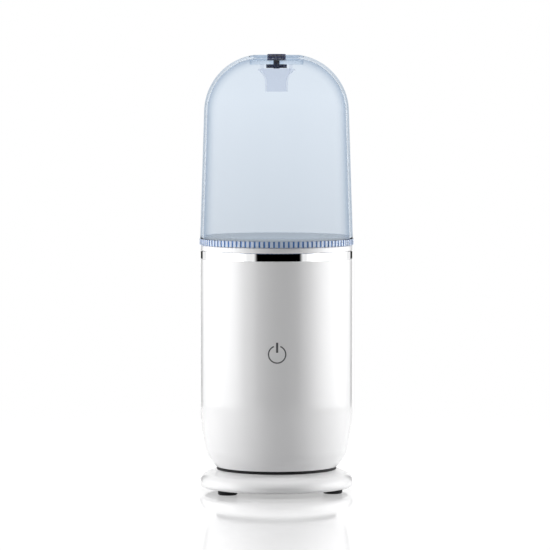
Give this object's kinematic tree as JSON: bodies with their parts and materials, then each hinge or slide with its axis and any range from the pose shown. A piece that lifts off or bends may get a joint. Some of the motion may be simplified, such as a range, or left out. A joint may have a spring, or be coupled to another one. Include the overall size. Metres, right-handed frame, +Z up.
{
  "type": "chopstick sterilizer",
  "caption": "Free-standing round chopstick sterilizer: glossy white housing on a wide base, slotted basket inside, and a domed clear blue lid with a top vent that lifts off.",
  "frame": {"origin": "on the floor under the centre of the round housing", "axes": "+Z up along the centre line of the housing and lid; -Y is the front with the touch key; +Y is the back with the USB inlet"},
  "size_m": [0.1116, 0.1116, 0.3166],
  "materials": {
    "outer_casing": "white high-gloss moulded plastic",
    "trim_ring": "bright plated plastic",
    "inner_liner": "white high-gloss moulded plastic",
    "base_shell": "white high-gloss moulded plastic",
    "neck_ring": "black plastic",
    "bottom_cover": "fine-textured white plastic",
    "rubber_feet": "black rubber",
    "cover_screws": "zinc-plated steel",
    "neck_screws": "zinc-plated steel",
    "post_screws": "zinc-plated steel",
    "chassis_plate": "grey moulded plastic",
    "fan_frame": "black moulded plastic",
    "fan_bush": "sintered bronze",
    "fan_stator": "steel core with copper windings",
    "fan_rotor": "black moulded plastic",
    "fan_shaft": "ground steel",
    "fan_magnet": "bonded magnet",
    "heater_frame": "heat-resistant plastic",
    "ptc_heater": "aluminium fins on a ceramic bar",
    "main_board": "green circuit board",
    "board_parts": "black components",
    "battery_pack": "foil pouch",
    "usb_port": "drawn steel",
    "usb_carrier": "green circuit board",
    "touch_key_board": "green circuit board",
    "touch_pad": "conductive foam",
    "lid_sensor": "green circuit board",
    "uv_boards": "white aluminium-core board",
    "uv_leds": "ceramic lamp package",
    "uv_windows": "clear quartz glass",
    "basket_sleeve": "white moulded plastic",
    "basket_floor": "white moulded plastic",
    "basket_divider": "white moulded plastic",
    "drip_cup": "translucent plastic",
    "lid_dome": "clear blue-tinted plastic",
    "lid_rim": "clear blue plastic",
    "lid_seal": "white silicone",
    "lid_magnet": "nickel-plated magnet",
    "vent_cap": "dark blue-black plastic",
    "vent_nut": "dark plastic",
    "vent_funnel": "clear tinted plastic"
  },
  "bodies": {
    "housing": {"outer_casing": "outer_casing", "trim_ring": "trim_ring", "inner_liner": "inner_liner", "base_shell": "base_shell", "neck_ring": "neck_ring", "bottom_cover": "bottom_cover", "rubber_feet": "rubber_feet", "cover_screws": "cover_screws", "neck_screws": "neck_screws", "post_screws": "post_screws", "chassis_plate": "chassis_plate", "fan_frame": "fan_frame", "fan_bush": "fan_bush", "fan_stator": "fan_stator", "heater_frame": "heater_frame", "ptc_heater": "ptc_heater", "main_board": "main_board", "board_parts": "board_parts", "battery_pack": "battery_pack", "usb_port": "usb_port", "usb_carrier": "usb_carrier", "touch_key_board": "touch_key_board", "touch_pad": "touch_pad", "lid_sensor": "lid_sensor", "uv_boards": "uv_boards", "uv_leds": "uv_leds", "uv_windows": "uv_windows"},
    "fan": {"fan_rotor": "fan_rotor", "fan_shaft": "fan_shaft", "fan_magnet": "fan_magnet"},
    "basket": {"basket_sleeve": "basket_sleeve", "basket_floor": "basket_floor", "basket_divider": "basket_divider", "drip_cup": "drip_cup"},
    "lid": {"lid_dome": "lid_dome", "lid_rim": "lid_rim", "lid_seal": "lid_seal", "lid_magnet": "lid_magnet", "vent_cap": "vent_cap", "vent_nut": "vent_nut", "vent_funnel": "vent_funnel"}
  },
  "joints": [
    {"name": "lid_lift", "type": "slide", "parent": "housing", "child": "lid", "axis": [0, 0, 1], "range_m": [0, 0.15]},
    {"name": "basket_lift", "type": "slide", "parent": "housing", "child": "basket", "axis": [0, 0, 1], "range_m": [0, 0.095]},
    {"name": "fan_spin", "type": "hinge", "parent": "housing", "child": "fan", "pos_m": [0, 0, 0.02744], "axis": [0, 0, 1], "continuous": true}
  ]
}
